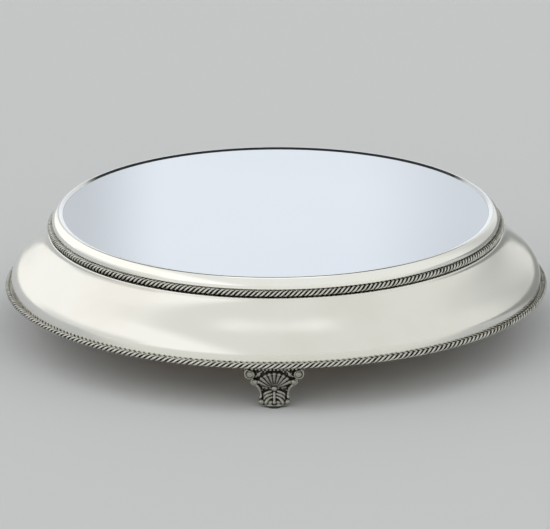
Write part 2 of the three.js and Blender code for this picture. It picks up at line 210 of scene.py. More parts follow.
class Tree:
    """A material's or the world's nodes, made by short calls that return output sockets."""

    def __init__(self, owner):
        owner.use_nodes = True
        self.tree = owner.node_tree
        self.tree.nodes.clear()

    def add(self, kind, inputs=None, output=0, **settings):
        """Adds a node, sets or links its inputs by name or number, and returns one of its outputs."""
        node = self.tree.nodes.new(kind)
        for key, value in settings.items():
            setattr(node, key, value)
        for key, value in (inputs or {}).items():
            if isinstance(value, bpy.types.NodeSocket):
                self.tree.links.new(value, node.inputs[key])
            else:
                node.inputs[key].default_value = value
        return node.outputs[output]

    def end(self, kind, shader):
        """Adds the output node that the tree ends in."""
        node = self.tree.nodes.new(kind)
        self.tree.links.new(shader, node.inputs["Surface"])

    def math(self, operation, *values):
        """A Math node on numbers or sockets."""
        return self.add("ShaderNodeMath", dict(enumerate(values)), operation=operation)

    def spread(self, value, start, end, low_end=0.0, high_end=1.0):
        """Maps a value's range onto another, softly at both ends."""
        inputs = {"Value": value, "From Min": start, "From Max": end, "To Min": low_end, "To Max": high_end}
        return self.add("ShaderNodeMapRange", inputs, interpolation_type="SMOOTHSTEP")

    def mix(self, factor, first, second):
        """A colour between two colours or sockets."""
        factor_socket, first_socket, second_socket = 0, 6, 7
        inputs = {factor_socket: factor, first_socket: first, second_socket: second}
        return self.add("ShaderNodeMix", inputs, output=2, data_type="RGBA")

    def noise(self, scale, vector=None, detail=4.0, roughness=0.5, dimensions="3D", w=None):
        """A noise texture's value, about 0.5 on average."""
        inputs = {"Scale": scale, "Detail": detail, "Roughness": roughness}
        if vector is not None:
            inputs["Vector"] = vector
        if w is not None:
            inputs["W"] = w
        return self.add("ShaderNodeTexNoise", inputs, noise_dimensions=dimensions)

    def position(self, scale=(1, 1, 1)):
        """The point on the piece in its own frame, in metres, stretched along each axis."""
        point = self.add("ShaderNodeTexCoord", output="Object")
        return self.add("ShaderNodeVectorMath", {0: point, 1: scale}, operation="MULTIPLY")

    def along(self, vector, axis):
        """One of a vector's parts: "X", "Y" or "Z"."""
        return self.add("ShaderNodeSeparateXYZ", {"Vector": vector}, output=axis)

    def bump(self, height, strength, distance, over=None):
        """A normal disturbed by a height, in metres of distance, over another bump if one is given."""
        inputs = {"Height": height, "Strength": strength, "Distance": distance}
        if over is not None:
            inputs["Normal"] = over
        return self.add("ShaderNodeBump", inputs)


def rgb(red, green, blue):
    """A colour socket's value."""
    return (red, green, blue, 1.0)


def surface(name, build):
    """A material whose shader sockets are what build(tree) returns for them."""
    material = bpy.data.materials.new(name)
    tree = Tree(material)
    shader = tree.add("ShaderNodeBsdfPrincipled", build(tree))
    tree.end("ShaderNodeOutputMaterial", shader)
    return material


def spun_lines(tree, spacing):
    """Fine turning lines round the spindle, from a one-way noise over radius and height."""
    point = tree.add("ShaderNodeTexCoord", output="Object")
    x, y, z = (tree.along(point, axis) for axis in "XYZ")
    squares = tree.math("ADD", tree.math("MULTIPLY", x, x), tree.math("MULTIPLY", y, y))
    across = tree.math("SUBTRACT", tree.math("SQRT", squares), z)
    return tree.noise(1 / (spacing * MM), w=across, detail=2.0, dimensions="1D")


def silver(clean, worn, smoothest, roughest):
    """Silver plate: warm and slightly wavy, with faint turning lines, wipe marks and yellowed patches."""
    def build(tree):
        patches = tree.noise(9.0, tree.position(), detail=3.0)
        wipes = tree.noise(60.0, tree.position((1.0, 1.0, 3.0)), detail=5.0, roughness=0.6)
        lines = spun_lines(tree, 0.5)
        polish = tree.spread(wipes, 0.3, 0.7, smoothest, roughest)
        waves = tree.bump(tree.noise(13.0, tree.position((1.0, 1.0, 1.6)), detail=1.0), 1.0, 0.00022)
        return {
            "Base Color": tree.mix(tree.spread(patches, 0.45, 0.72), clean, worn),
            "Metallic": 1.0,
            "Roughness": tree.math("ADD", polish, tree.math("MULTIPLY", lines, 0.03)),
            "Normal": tree.bump(lines, 0.10, 0.00004, over=waves),
        }
    return build


def mirror_glass(tree):
    """A cool, slightly milky mirror with faint smears where it has been wiped."""
    smears = tree.noise(7.0, tree.position((1.0, 2.6, 1.0)), detail=6.0, roughness=0.62)
    haze = tree.noise(2.2, tree.position(), detail=2.0)
    colour = tree.mix(tree.spread(haze, 0.4, 0.65), rgb(0.86, 0.885, 0.925), rgb(0.825, 0.855, 0.905))
    return {
        "Base Color": colour,
        "Metallic": 0.82,
        "Roughness": tree.spread(smears, 0.35, 0.75, 0.03, 0.075),
    }


def oxidised(bright, dull, grain):
    """Silver that has gone dark in its hollows, read from the piece's own hollow values."""
    def build(tree):
        hollow = tree.add("ShaderNodeAttribute", output="Fac", attribute_name="hollow")
        patches = tree.noise(140.0, tree.position(), detail=4.0)
        uneven = tree.math("ADD", hollow, tree.spread(patches, 0.3, 0.75, -0.16, 0.22))
        shade = tree.spread(uneven, 0.12, 0.80)
        pits = tree.noise(grain, tree.position(), detail=3.0)
        return {
            "Base Color": tree.mix(shade, bright, dull),
            "Metallic": 1.0,
            "Roughness": tree.spread(uneven, 0.1, 0.9, 0.2, 0.5),
            "Normal": tree.bump(pits, 0.18, 0.0001),
        }
    return build


PLY_PAIR = 3.2  # thickness of a light and a dark ply together


def plywood(tree):
    """A rotary-cut birch face, with its plies showing as bands at the edge."""
    warp = tree.noise(3.0, tree.position((1.0, 0.18, 1.0)), detail=4.0)
    figure = tree.noise(26.0, tree.position((1.0, 0.05, 1.0)), detail=8.0, roughness=0.62)
    streaks = tree.noise(150.0, tree.position((1.0, 0.03, 1.0)), detail=5.0, roughness=0.7)
    pores = tree.noise(520.0, tree.position((1.0, 0.035, 1.0)), detail=2.0)
    height = tree.along(tree.position(), "Z")
    plies = tree.math("SINE", tree.math("MULTIPLY", height, 2 * math.pi / (PLY_PAIR * MM)))
    facing = tree.add("ShaderNodeNewGeometry", output="Normal")
    level = tree.math("ABSOLUTE", tree.along(facing, "Z"))
    grain = tree.math("ADD", figure, tree.math("MULTIPLY", warp, 0.35))
    grain = tree.math("ADD", grain, tree.math("MULTIPLY", tree.math("SUBTRACT", streaks, 0.5), 0.9))
    face = tree.mix(tree.spread(grain, 0.5, 0.85), rgb(0.66, 0.49, 0.31), rgb(0.44, 0.29, 0.16))
    edge = tree.mix(tree.spread(plies, -0.4, 0.4), rgb(0.33, 0.2, 0.11), rgb(0.6, 0.43, 0.26))
    return {
        "Base Color": tree.mix(tree.spread(level, 0.4, 0.8), edge, face),
        "Roughness": tree.spread(pores, 0.3, 0.7, 0.45, 0.62),
        "Normal": tree.bump(pores, 0.25, 0.00012),
    }


def zinc_steel(tree):
    """Zinc-plated steel: cool, softly mottled and finely turned."""
    spangle = tree.noise(160.0, tree.position(), detail=3.0)
    lines = spun_lines(tree, 0.35)
    colour = tree.mix(tree.spread(spangle, 0.3, 0.7), rgb(0.60, 0.61, 0.63), rgb(0.50, 0.505, 0.50))
    return {
        "Base Color": colour,
        "Metallic": 1.0,
        "Roughness": tree.spread(spangle, 0.3, 0.75, 0.26, 0.42),
        "Normal": tree.bump(lines, 0.3, 0.00006),
    }


def turned_bronze(tree):
    """Oil-impregnated bronze, mottled brown, with turning lines."""
    mottle = tree.noise(110.0, tree.position(), detail=4.0)
    lines = spun_lines(tree, 0.4)
    colour = tree.mix(tree.spread(mottle, 0.35, 0.7), rgb(0.62, 0.43, 0.21), rgb(0.40, 0.25, 0.12))
    return {
        "Base Color": colour,
        "Metallic": 1.0,
        "Roughness": tree.spread(mottle, 0.3, 0.7, 0.3, 0.48),
        "Normal": tree.bump(lines, 0.35, 0.00006),
    }


def green_felt(tree):
    """Pressed wool felt, flecked and matted."""
    fibres = tree.noise(1500.0, tree.position((1.0, 1.0, 0.4)), detail=6.0, roughness=0.7)
    clumps = tree.noise(260.0, tree.position(), detail=3.0)
    fleck = tree.mix(tree.spread(fibres, 0.35, 0.7), rgb(0.010, 0.024, 0.018), rgb(0.030, 0.055, 0.042))
    return {
        "Base Color": tree.mix(tree.spread(clumps, 0.3, 0.8, 0.0, 0.5), fleck, rgb(0.014, 0.030, 0.023)),
        "Roughness": 0.95,
        "Sheen Weight": 0.15,
        "Sheen Roughness": 0.5,
        "Normal": tree.bump(fibres, 0.7, 0.0003),
    }


MATERIALS = {
    "mirror": surface("mirror", mirror_glass),
    "silver_plate": surface(
        "silver_plate", silver(rgb(0.86, 0.85, 0.82), rgb(0.825, 0.805, 0.76), 0.12, 0.19)
    ),
    "rope_silver": surface(
        "rope_silver", oxidised(rgb(0.66, 0.655, 0.615), rgb(0.035, 0.033, 0.028), 900.0)
    ),
    # The feet's silver is painted much darker than the other silver, painted shade for their place under
    # the skirt; the dark in their hollows is oxide.
    "cast_silver": surface(
        "cast_silver", oxidised(rgb(0.33, 0.325, 0.298), rgb(0.022, 0.021, 0.017), 1400.0)
    ),
    "plywood": surface("plywood", plywood),
    "steel": surface("steel", zinc_steel),
    "bronze": surface("bronze", turned_bronze),
    "felt": surface("felt", green_felt),
}


# The turning rim gets a copy of the silver plate painted brighter than the skirt's, a painted highlight,
# with a smoother polish.
RIM_SILVER_PAINTED_BRIGHT = surface("rim_silver_painted_highlight", silver(rgb(0.975, 0.97, 0.945), rgb(0.95, 0.935, 0.895), 0.07, 0.12))


def place(piece, body, slot, *nodes):
    """Gives a piece its finish, its body and the CAD nodes that it stands for."""
    if not piece.data.materials:
        piece.data.materials.append(MATERIALS[slot])
    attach(piece, body)
    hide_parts(*nodes)
    return piece


# ---------------------------------------------------------------- the turning top

RIM_GAUGE = 1.2
RIM_RISE = 1.4  # of the crest above the mirror
RIM_TOP = PLATE_TOP + RIM_RISE
WELL_RADIUS = 220
CREST_CIRCLE = 224.3
CREST_RADIUS = 3
CREST_INNER_SLOPE = 20.4  # degrees
CREST_OUTER_SLOPE = 38  # degrees
COLLAR_RADIUS = 231.2
COLLAR_TOP = 118
COLLAR_BOTTOM = 115.9
ROPE_WALL_RADIUS = 229
ROPE_WALL_TOP = 114.6
FLANGE_RADIUS = 205


def make_mirror():
    bevel, edge = 0.35, WELL_RADIUS - 0.06
    bottom = low("mirror_plate").z
    outline = [
        (0, bottom),
        (edge, bottom),
        (edge, PLATE_TOP - bevel),
        *arc((edge - bevel, PLATE_TOP - bevel), bevel, 0, 90, 6),
        (edge - bevel - FLAT_MARGIN, PLATE_TOP),
        (0, PLATE_TOP),
    ]
    piece = drop_flat_faces(revolve("mirror_top", outline))
    place(piece, "turntable", "mirror", "mirror_plate")


def make_rim():
    crest = (CREST_CIRCLE, RIM_TOP - CREST_RADIUS)
    over = arc(crest, CREST_RADIUS, 90 + CREST_INNER_SLOPE, 90 - CREST_OUTER_SLOPE, 18)
    slope_foot = over[0][1] - (over[0][0] - WELL_RADIUS) * math.tan(math.radians(CREST_INNER_SLOPE))
    shoulder = (over[-1][0] + 3.1, over[-1][1] - 2.4)
    lip = (COLLAR_RADIUS, COLLAR_BOTTOM)
    wall_top = (ROPE_WALL_RADIUS, ROPE_WALL_TOP)
    shown = [
        (FLANGE_RADIUS, BOARD_BOTTOM),
        (WELL_RADIUS, BOARD_BOTTOM),
        (WELL_RADIUS, slope_foot),
        *over,
        *bend(over[-1], shoulder, (COLLAR_RADIUS, COLLAR_TOP + 3), (COLLAR_RADIUS, COLLAR_TOP), 16),
        lip,
        *bend(lip, (lip[0], lip[1] - 0.7), (wall_top[0] + 1.6, wall_top[1] + 0.3), wall_top, 6),
        (ROPE_WALL_RADIUS, low("top_rim").z),
    ]
    piece = revolve("rim_and_collar", sheet_outline(shown, RIM_GAUGE))
    # silver painted brighter than the skirt's: a painted highlight on the rim and collar
    piece.data.materials.append(RIM_SILVER_PAINTED_BRIGHT)
    place(piece, "turntable", "silver_plate", "top_rim")


# ---------------------------------------------------------------- rope-twist borders

ROPE_STRANDS = 3
ROPE_SIDES = 24
RINGS_PER_TWIST = 18
UPPER_LAY = 15.0
LOWER_LAY = 18.0


def rope_radius(turn, section):
    """The radius of a rope's section at an angle, where each strand fills its share of the turn."""
    strand_circle = section / (1 + math.sin(math.pi / ROPE_STRANDS))
    strand = section - strand_circle
    share = 2 * math.pi / ROPE_STRANDS
    off = (turn + share / 2) % share - share / 2
    half_chord = math.sqrt(max(strand ** 2 - (strand_circle * math.sin(off)) ** 2, 0))
    return strand_circle * math.cos(off) + half_chord


def make_rope(name, node, body, lay):
    """A ring of rope in the place of a plain CAD ring; lay is the length of one full twist."""
    section = (high(node).z - low(node).z) / 2
    circle, height = high(node).x - section, middle(node).z
    twists = round(2 * math.pi * circle / lay)
    rings = twists * RINGS_PER_TWIST
    shape = [rope_radius(2 * math.pi * j / ROPE_SIDES, section) for j in range(ROPE_SIDES)]
    vertices = []
    for i in range(rings):
        around = 2 * math.pi * i / rings
        for j, radius in enumerate(shape):
            turn = 2 * math.pi * j / ROPE_SIDES + twists * around
            out, up = circle + radius * math.cos(turn), height + radius * math.sin(turn)
            vertices.append((out * math.cos(around), out * math.sin(around), up))
    piece = smooth(new_object(name, vertices, grid_faces(rings, ROPE_SIDES)), 80)
    points = np.array([v.co for v in piece.data.vertices]) / MM
    depth = np.hypot(np.hypot(points[:, 0], points[:, 1]) - circle, points[:, 2] - height) / section
    mark_hollows(piece.data, (1.0 - depth) / 0.42)
    place(piece, body, "rope_silver", node)


# ---------------------------------------------------------------- the base

SKIRT_GAUGE = 1.5
LEDGE_RADIUS = 235.5
LEDGE_FILLET = 1.5
FLARE = (262.5, 77)  # where the hollow neck turns into the round shoulder
SHOULDER_FOOT = 55  # where the shoulder ends in a plain upright wall
RING_INNER = 236
DECK_BORE = 11.6
BOARD_EDGE = 0.8  # radius on the boards' edges


def make_skirt():
    ledge_edge = (LEDGE_RADIUS - LEDGE_FILLET, SKIRT_TOP - LEDGE_FILLET)
    neck = (LEDGE_RADIUS, ledge_edge[1])
    foot = (SKIRT_RADIUS, SHOULDER_FOOT)
    shown = [
        (FLANGE_RADIUS, SKIRT_TOP),
        (ledge_edge[0] - FLAT_MARGIN, SKIRT_TOP),
        *arc(ledge_edge, LEDGE_FILLET, 90, 0, 8),
        *bend(neck, (LEDGE_RADIUS + 0.4, 97), (252.5, 86), FLARE, 20),
        *bend(FLARE, (268, 72.1), (SKIRT_RADIUS, 64.5), foot, 20),
        (SKIRT_RADIUS, SKIRT_FOOT),
    ]
    place(revolve("flared_skirt", sheet_outline(shown, SKIRT_GAUGE)), "base", "silver_plate", "base_skirt")


def rounded_ring(name, inner, outer, bottom, top, edge, segments=RING_SEGMENTS):
    """A flat ring with its four edges rounded over."""
    outline = [
        *arc((inner + edge, bottom + edge), edge, 180, 270, 4),
        *arc((outer - edge, bottom + edge), edge, 270, 360, 4),
        *arc((outer - edge, top - edge), edge, 0, 90, 4),
        *arc((inner + edge, top - edge), edge, 90, 180, 4),
    ]
    return revolve(name, outline, segments)


def make_base_ring():
    node = "base_ring"
    ring = rounded_ring("foot_ring", RING_INNER, high(node).x, low(node).z, high(node).z, 0.4)
    place(ring, "base", "silver_plate", node)


def make_deck():
    node = "deck_board"
    deck = rounded_ring("deck", DECK_BORE, high(node).x, low(node).z, high(node).z, BOARD_EDGE)
    place(deck, "base", "plywood", node)


def make_turning_board():
    node = "turntable_board"
    outline = [
        (0, low(node).z),
        *arc((high(node).x - BOARD_EDGE, low(node).z + BOARD_EDGE), BOARD_EDGE, 270, 360, 4),
        *arc((high(node).x - BOARD_EDGE, high(node).z - BOARD_EDGE), BOARD_EDGE, 0, 90, 4),
        (0, high(node).z),
    ]
    place(drop_flat_faces(revolve("turning_board", outline)), "turntable", "plywood", node)


# ---------------------------------------------------------------- the cast feet

# A foot is modelled with u to its side, v outwards and w up from the table, all in millimetres.
# Half width, half depth and outward lean of its body at some heights, from the toe to the top plate.
FOOT_STATIONS = {
    2.0: (13.0, 8.5, 3.5),
    6.0: (12.5, 8.0, 3.0),
    10.0: (12.0, 6.5, 1.2),
    17.0: (14.0, 6.0, -0.6),
    22.0: (17.5, 6.2, -0.4),
    28.0: (21.0, 7.2, 0.8),
    36.0: (23.0, 8.6, 2.4),
    42.0: (26.5, 9.2, 1.6),
    45.3: (28.5, 9.6, 0.4),
}
SECTION_POWER = 2.6  # squareness of the body's section
# Points (u, v, w) down the stem at a side of the foot, each with the stem's radius there.
STEM = (
    (20.0, 3.4, 24.4, 1.6),
    (17.6, 3.4, 21.6, 2.3),
    (15.6, 2.8, 18.6, 2.2),
    (14.4, 2.6, 15.2, 1.9),
    (13.6, 3.0, 11.6, 1.7),
    (13.8, 4.2, 8.0, 1.9),
    (15.0, 5.6, 5.2, 2.1),
)
SHELL_ROOT = 19.5  # height that the shell's ribs fan out from
SHELL_REACH = 17.5
SHELL_RIBS = 9
BEAD_SIDES = 14
FOOT_VOXEL = 0.45


def foot_section(height):
    """Half width, half depth and lean of the foot's body at a height."""
    heights = list(FOOT_STATIONS)
    return [np.interp(height, heights, [row[i] for row in FOOT_STATIONS.values()]) for i in range(3)]


def foot_face(side, height):
    """How far outwards the body's front face stands at a point of it."""
    width, depth, lean = foot_section(height)
    across = min(abs(side) / width, 0.97)
    return lean + depth * (1 - across ** SECTION_POWER) ** (1 / SECTION_POWER)


class Casting:
    """Overlapping closed solids, gathered to be fused into one casting."""

    def __init__(self):
        self.vertices = []
        self.faces = []

    def loft(self, rings):
        """A solid through rings of points, closed at both ends."""
        start, sides = len(self.vertices), len(rings[0])
        for ring in rings:
            self.vertices += [tuple(point) for point in ring]
        for i in range(len(rings) - 1):
            for j in range(sides):
                near, far = start + i * sides + j, start + i * sides + (j + 1) % sides
                self.faces.append((near, far, far + sides, near + sides))
        self.faces.append(tuple(range(start, start + sides))[::-1])
        self.faces.append(tuple(range(len(self.vertices) - sides, len(self.vertices))))

    def tube(self, path, radii, sides=10):
        """A round bar along a path, with one radius for each of its points and rounded ends."""
        path = np.array(path, float)
        tangents = np.gradient(path, axis=0)
        tangents /= np.linalg.norm(tangents, axis=1, keepdims=True)
        turns = np.linspace(0, 2 * math.pi, sides, endpoint=False)
        rings = []
        for i, (point, tangent, radius) in enumerate(zip(path, tangents, radii)):
            across = np.cross(tangent, (0, 1, 0.02))
            across /= np.linalg.norm(across)
            over = np.cross(across, tangent)
            circle = [point + radius * (math.cos(t) * across + math.sin(t) * over) for t in turns]
            if i in (0, len(path) - 1):
                outward = tangent * radius * (0.6 if i else -0.6)
                tip = [point + outward + 0.5 * (spot - point) for spot in circle]
                circle = [tip, circle] if i == 0 else [circle, tip]
                rings += circle
            else:
                rings.append(circle)
        self.loft(rings)

    def bead(self, centre, radius, stretch=(1, 1, 1)):
        """A round bead, or an egg if it is stretched along an axis."""
        rings = []
        for fall in np.linspace(0.04, math.pi - 0.04, BEAD_SIDES // 2 + 1):
            turns = np.linspace(0, 2 * math.pi, BEAD_SIDES, endpoint=False)
            rings.append([
                (
                    centre[0] + radius * stretch[0] * math.sin(fall) * math.cos(t),
                    centre[1] + radius * stretch[1] * math.sin(fall) * math.sin(t),
                    centre[2] - radius * stretch[2] * math.cos(fall),
                )
                for t in turns
            ])
        self.loft(rings)


def foot_body(casting):
    """The core of the foot, a squarish section that swells from the ankle to the top plate."""
    rings = []
    for height in np.linspace(FOOT_BOTTOM, FOOT_TOP, 40):
        width, depth, lean = foot_section(height)
        ring = []
        for turn in np.linspace(0, 2 * math.pi, 40, endpoint=False):
            c, s = math.cos(turn), math.sin(turn)
            u = width * math.copysign(abs(c) ** (2 / SECTION_POWER), c)
            v = lean + depth * math.copysign(abs(s) ** (2 / SECTION_POWER), s)
            ring.append((u, v, height))
        rings.append(ring)
    casting.loft(rings)


def foot_plate(casting):
    """The flat plate on top, which the screws pull against the base ring, and a bead moulding under it."""
    half_width, half_depth, corner = 30.8, 10.8, 4.0
    rings = []
    for height, inset in ((FOOT_TOP - 2.2, 0.6), (FOOT_TOP - 1.8, 0), (FOOT_TOP - 0.3, 0), (FOOT_TOP, 0.3)):
        ring = []
        for centre_u, centre_v, start in ((1, 1, 0), (-1, 1, 90), (-1, -1, 180), (1, -1, 270)):
            middle_point = (centre_u * (half_width - corner), centre_v * (half_depth - corner))
            ring += [(u, v, height) for u, v in arc(middle_point, corner - inset, start, start + 90, 5)]
        rings.append(ring)
    casting.loft(rings)
    for side in np.arange(-7, 8) * 3.75:
        casting.bead((side, foot_face(side, 41.2) + 0.5, 41.4), 1.55)


def foot_scrolls(casting):
    """A scroll at each top corner, a smaller one under it, and a stem from there down to the toe."""
    for side in (-1, 1):
        for centre_u, centre_w, size, depth in ((24.7, 36.0, 5.7, 6.6), (20.0, 26.8, 3.9, 4.4)):
            core = [(side * centre_u, v, centre_w) for v in np.linspace(1.8 - depth, 2.8 + depth, 6)]
            casting.tube(core, [size * 0.86] * 6, 24)
            for face in (-1, 1):
                spiral, radii = [], []
                for t in np.linspace(0, 1, 40):
                    turn = math.radians(-60 + 590 * t)
                    reach = size * (1 - 0.80 * t)
                    spiral.append((
                        side * (centre_u + reach * math.cos(turn)),
                        2.3 + face * (depth + 0.9 + 0.8 * t),
                        centre_w - reach * math.sin(turn),
                    ))
                    radii.append(0.21 * size * (1 - 0.25 * t))
                casting.tube(spiral, radii)
                casting.bead((side * centre_u, 2.3 + face * (depth + 1.6), centre_w), 0.24 * size)
        stem = [(side * u, v, w) for u, v, w, _ in STEM]
        casting.tube(stem, [radius for *_, radius in STEM], 12)


def foot_shell(casting):
    """A fan of tapering ribs on the front, each ending in a bead, and a boss in a ring of small beads."""
    for lean in np.radians(np.linspace(-64, 64, SHELL_RIBS)):
        path, radii = [], []
        for t in np.linspace(0.12, 1, 9):
            side = SHELL_REACH * t * math.sin(lean)
            height = SHELL_ROOT + SHELL_REACH * t * math.cos(lean)
            swell = 1.5 * math.sin(math.pi * min(t * 0.85, 1))
            path.append((side, foot_face(side, height) + swell - 0.1, height))
            radii.append(0.75 + 1.25 * t)
        casting.tube(path, radii)
        casting.bead(path[-1], 2.35, (1, 1.1, 1))
    casting.bead((0, foot_face(0, SHELL_ROOT) + 0.8, SHELL_ROOT), 3.0, (1.1, 0.8, 1))
    for turn in np.radians(np.linspace(0, 360, 10, endpoint=False)):
        side, height = 4.2 * math.cos(turn), SHELL_ROOT + 4.0 * math.sin(turn)
        casting.bead((side, foot_face(side, height) + 0.5, height), 0.95)


def foot_leaves(casting):
    """Leaves between the shell and the toe: a spine, and leaflets that curl out to each side."""
    spine = [(0, foot_face(0, w) + 0.9, w) for w in np.linspace(17, 5.5, 8)]
    casting.tube(spine, np.linspace(1.2, 1.9, 8))
    for side in (-1, 1):
        for start, end, spread_out in ((17.0, 11.5, 9.5), (14.0, 7.5, 9.0), (11.0, 4.0, 8.0)):
            leaflet = []
            for t in np.linspace(0, 1, 8):
                u = side * (0.8 + spread_out * math.sin(t * math.pi / 2))
                w = start + (end - start) * (1 - math.cos(t * math.pi / 2))
                leaflet.append((u, foot_face(u, w) + 0.9 * math.sin(math.pi * t) + 0.2, w))
            casting.tube(leaflet, 0.8 + 1.1 * np.sin(np.linspace(0.2, 2.5, 8)))
    toe = [(u, 8.4 - 0.012 * u * u, 5.4) for u in np.linspace(-12.5, 12.5, 13)]
    casting.tube(toe, [3.0] * 13, 16)
    for side in (-1, 1):
        casting.bead((side * 13.2, 7.0, 5.6), 3.4)


def foot_sprigs(casting):
    """Small leaves and beads that fill the ground between the shell, the scrolls and the bead moulding."""
    for side in (-1, 1):
        for root_u, root_w, reach, fan in ((14.5, 34.0, 4.4, (10, 45, 80)), (18.5, 31.5, 3.4, (-10, 30))):
            for turn in np.radians(fan):
                leaf = []
                for t in np.linspace(0.1, 1, 6):
                    u = side * (root_u + reach * t * math.sin(turn))
                    w = root_w + reach * t * math.cos(turn)
                    leaf.append((u, foot_face(u, w) + 0.5, w))
                casting.tube(leaf, 0.35 + 0.75 * np.sin(np.linspace(0.3, 2.7, 6)))
        for u, w in ((9.5, 39.0), (13.3, 38.8), (6.0, 15.2), (11.5, 20.0), (12.6, 17.0)):
            casting.bead((side * u, foot_face(u, w) + 0.4, w), 1.0)


def foot_back(casting):
    """The plainer back: three flutes that rise from the toe and part under the top plate."""
    for lean in (-1, 0, 1):
        path = []
        for height in np.linspace(6, 41, 16):
            width, depth, bend_out = foot_section(height)
            side = lean * width * 0.52
            across = (abs(side) / width) ** SECTION_POWER
            path.append((side, bend_out - depth * (1 - across) ** (1 / SECTION_POWER) + 0.2, height))
        casting.tube(path, 1.0 + 1.2 * np.sin(np.linspace(0.4, 2.2, 16)), 12)


def fused(casting, name):
    """The gathered solids as one skin, softened as a casting is, that knows where its hollows are."""
    points = np.array(casting.vertices)
    placed = np.column_stack([points[:, 0], -FOOT_CIRCLE - points[:, 1], points[:, 2]])
    rough = new_object(name + "_rough", placed, casting.faces)
    remesh = rough.modifiers.new("fuse", "REMESH")
    remesh.mode = "VOXEL"
    remesh.voxel_size = FOOT_VOXEL * MM
    ready = rough.evaluated_get(bpy.context.evaluated_depsgraph_get())
    mesh = bpy.data.meshes.new_from_object(ready)
    mesh.name = name
    bpy.data.objects.remove(rough)

    edges = np.zeros(2 * len(mesh.edges), int)
    mesh.edges.foreach_get("vertices", edges)
    edges = edges.reshape(-1, 2)
    count = np.bincount(edges.ravel(), minlength=len(mesh.vertices))[:, None]
    spots = np.zeros(3 * len(mesh.vertices))
    mesh.vertices.foreach_get("co", spots)
    spots = spots.reshape(-1, 3)

    def averaged(values):
        total = np.column_stack([
            np.bincount(edges[:, 0], values[edges[:, 1], axis], len(values))
            + np.bincount(edges[:, 1], values[edges[:, 0], axis], len(values))
            for axis in range(3)
        ])
        return total / count

    softening, hollow_reach = 2, 16  # in steps from vertex to vertex
    for _ in range(softening):
        spots = (spots + averaged(spots)) / 2
    mesh.vertices.foreach_set("co", spots.ravel())
    mesh.update()
    normals = np.zeros(3 * len(mesh.vertices))
    mesh.vertices.foreach_get("normal", normals)
    around = spots
    for _ in range(hollow_reach):
        around = averaged(around)
    depth = np.sum((around - spots) * normals.reshape(-1, 3), axis=1) / MM
    mesh.shade_smooth()
    mark_hollows(mesh, 0.42 + depth / 0.5)
    return mesh


def make_feet():
    casting = Casting()
    foot_body(casting)
    foot_plate(casting)
    foot_scrolls(casting)
    foot_shell(casting)
    foot_leaves(casting)
    foot_sprigs(casting)
    foot_back(casting)
    mesh = fused(casting, "cast_foot")
    for i in range(FOOT_COUNT):
        foot = copy_of(mesh, f"cast_foot_{i + 1}", angle=360 / FOOT_COUNT * i)
        # the feet's silver is painted dark: painted shade under the skirt
        place(foot, "base", "cast_silver", f"foot_{i + 1}")


def make_pads():
    """A felt disc glued under each toe, its edge rounded and a little uneven."""
    node = "foot_pad_1"
    radius, height, edge = (high(node).x - low(node).x) / 2, high(node).z, 0.5

    def outline(angle):
        ragged = radius - 0.25 - 0.10 * math.sin(7 * angle) - 0.07 * math.sin(19 * angle + 1)
        return [
            (0, 0),
            *arc((ragged - edge, edge), edge, 270, 360, 4),
            *arc((ragged - edge, height - edge), edge, 0, 90, 4),
            (0, height),
        ]

    mesh = mesh_of(drop_flat_faces(revolve("felt_pad", outline, SHAFT_SEGMENTS)))
    for i in range(FOOT_COUNT):
        spot = middle(f"foot_pad_{i + 1}")
        place(copy_of(mesh, f"felt_pad_{i + 1}", (spot.x, spot.y, 0)), "base", "felt", f"foot_pad_{i + 1}")


# ---------------------------------------------------------------- spindle and bush

THREAD_PITCH = 1.5
THREAD_TOP = 91.0
SPINDLE_BORE = 8.3
SPINDLE_RADIUS = 8.0
SPINDLE_FLANGE_RADIUS = 28.0
SPINDLE_FLANGE = 3.5  # thickness
BUSH_RADIUS = 11.3


def thread(radius, depth, bottom, top, angle, pitch):
    """A screw thread's outline at one angle, from bottom to top, with flat crests and flat roots."""
    points_per_turn = 6
    points = []
    for height in np.linspace(bottom, top, round((top - bottom) / pitch * points_per_turn) + 1):
        phase = ((height - bottom) / pitch - angle / (2 * math.pi)) % 1
        fade = min((height - bottom) / pitch, (top - height) / pitch, 1)
        crest = min(abs(2 * phase - 1) * 1.5, 1.25) - 0.25
        points.append((radius - depth * fade * (1 - max(crest, 0)), height))
    return points


def make_spindle():
    node = "spindle"
    radius, flange = SPINDLE_RADIUS, SPINDLE_FLANGE_RADIUS
    flange_bottom = BOARD_BOTTOM - SPINDLE_FLANGE
    foot, chamfer, fillet, soft = low(node).z, 1.0, 1.0, 0.5

    def outline(angle):
        return [
            (0, foot),
            (radius - chamfer, foot),
            (radius, foot + chamfer),
            *thread(radius, 0.85, foot + chamfer + 0.1, THREAD_TOP, angle, THREAD_PITCH),
            (radius, THREAD_TOP + 0.2),
            (radius, flange_bottom - fillet),
            *arc((radius + fillet, flange_bottom - fillet), fillet, 180, 90, 4)[1:],
            *arc((flange - soft, flange_bottom + soft), soft, 270, 360, 4),
            *arc((flange - soft, BOARD_BOTTOM - soft), soft, 0, 90, 4),
            (0, BOARD_BOTTOM),
        ]

    piece = drop_flat_faces(revolve("threaded_spindle", outline, SHAFT_SEGMENTS))
    place(piece, "turntable", "steel", node)


def make_nut():
    """A hexagon nut, its corners chamfered off by a cone at both faces."""
    node = "spindle_nut"
    bottom, top = low(node).z, high(node).z
    corner = (high(node).y - low(node).y) / 2
    apothem = corner * math.cos(math.pi / 6)
    face, bore, lip = apothem * 0.97, SPINDLE_BORE + 0.75, 0.8

    def outline(angle):
        off = (angle + math.pi / 6) % (math.pi / 3) - math.pi / 6
        side = apothem / math.cos(off)
        chamfer = (side - face) * math.tan(math.radians(30))
        return [
            (bore + lip, bottom),
            (face, bottom),
            (side, bottom + chamfer),
            (side, top - chamfer),
            (face, top),
            (bore + lip, top),
            *thread(bore, 0.7, bottom + lip, top - lip, angle, THREAD_PITCH)[::-1],
        ]

    place(revolve("hexagon_nut", outline, 240), "turntable", "steel", node)


